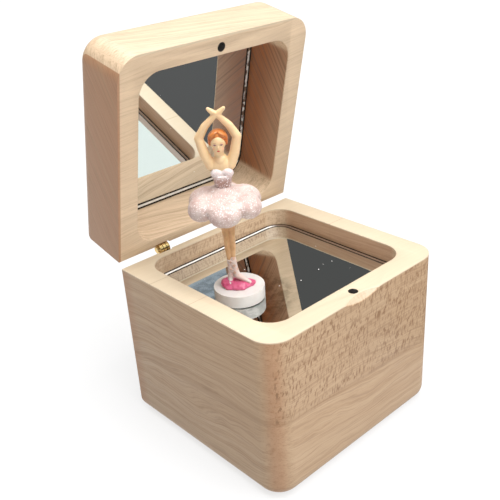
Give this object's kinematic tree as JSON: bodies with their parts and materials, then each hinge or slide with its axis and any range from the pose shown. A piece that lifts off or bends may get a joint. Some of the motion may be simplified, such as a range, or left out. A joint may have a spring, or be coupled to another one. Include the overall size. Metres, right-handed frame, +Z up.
{
  "type": "ballerina jewellery box",
  "caption": "Wooden jewellery box with a mirrored tray, a mirrored hinged lid, a clockwork musical movement and a dancer that turns on the mirror.",
  "frame": {"origin": "centre of the underside, on the surface that the box rests on", "axes": "+X along the hinges to the right seen from the front, -Y is the front with the finger scoop, +Y the hinged back, +Z up"},
  "size_m": [0.1, 0.1186, 0.1703],
  "materials": {
    "maple": "satin",
    "plywood": "matt",
    "mirror_glass": "polished",
    "brass": "polished",
    "steel": "brushed",
    "zinc": "cast",
    "spring_steel": "blued",
    "magnet": "plated",
    "white_plastic": "gloss",
    "felt": "matt",
    "pink_resin": "gloss",
    "skin_plastic": "satin",
    "shoe_pink": "satin",
    "bodice_glitter": "glitter",
    "tutu_glitter": "glitter",
    "hair_orange": "satin"
  },
  "bodies": {
    "case": {"box_body": "maple", "bottom_panel": "plywood", "panel_screws": "brass", "tray_mirror": "mirror_glass", "body_magnet": "magnet", "body_hinge_leaves": "brass", "hinge_pins": "brass", "body_hinge_screws": "brass", "bedplate": "zinc", "movement_screws": "steel", "spring_housing": "steel", "mainspring": "spring_steel", "cylinder_brackets": "zinc", "comb": "steel", "comb_screws": "spring_steel", "governor_frame": "zinc"},
    "lid_body": {"lid": "maple", "lid_mirror": "mirror_glass", "lid_magnet": "magnet", "lid_hinge_leaves": "brass", "lid_hinge_screws": "brass"},
    "drive": {"winding_shaft": "steel", "crown_wheel": "brass", "winding_key": "steel", "magnet_carrier": "white_plastic", "carrier_magnets": "magnet"},
    "cylinder_body": {"tune_cylinder": "brass", "cylinder_arbor": "steel"},
    "governor": {"governor_wheel": "brass"},
    "fan": {"fan_shaft": "steel"},
    "glide_body": {"glide": "felt"},
    "dancer": {"stand": "white_plastic", "stand_magnets": "magnet", "base_blob": "pink_resin", "shoes": "shoe_pink", "figure": "skin_plastic", "bodice": "bodice_glitter", "tutu": "tutu_glitter", "hair": "hair_orange"}
  },
  "joints": [
    {"name": "lid_hinge", "type": "hinge", "parent": "case", "child": "lid_body", "pos_m": [0, 0.0478, 0.0745], "axis": [1, 0, 0], "range_deg": [0, 77]},
    {"name": "drive_turn", "type": "hinge", "parent": "case", "child": "drive", "pos_m": [-0.023, 0.0007, 0.04], "axis": [0, 0, 1], "continuous": true},
    {"name": "cylinder_turn", "type": "hinge", "parent": "case", "child": "cylinder_body", "pos_m": [-0.0072, 0.0007, 0.04043], "axis": [1, 0, 0], "continuous": true},
    {"name": "governor_turn", "type": "hinge", "parent": "case", "child": "governor", "pos_m": [0.0148, 0.0123, 0.04043], "axis": [1, 0, 0], "continuous": true},
    {"name": "fan_turn", "type": "hinge", "parent": "case", "child": "fan", "pos_m": [0.0206, 0.02195, 0.04043], "axis": [0, 0, 1], "continuous": true},
    {"name": "dancer_take_off", "type": "slide", "parent": "case", "child": "glide_body", "axis": [0, -0.8944, 0.4472], "range_m": [0, 0.1455]},
    {"name": "dancer_turn", "type": "hinge", "parent": "glide_body", "child": "dancer", "pos_m": [-0.023, 0.0007, 0.0663], "axis": [0, 0, 1], "continuous": true}
  ],
  "couplings": [
    {"joint": "cylinder_turn", "follows": "drive_turn", "ratio": 4},
    {"joint": "governor_turn", "follows": "drive_turn", "ratio": -14.4},
    {"joint": "fan_turn", "follows": "drive_turn", "ratio": 432},
    {"joint": "dancer_turn", "follows": "drive_turn", "ratio": 1},
    {"joint": "dancer_take_off", "follows": "lid_hinge", "m_per_rad": 0.1079}
  ]
}
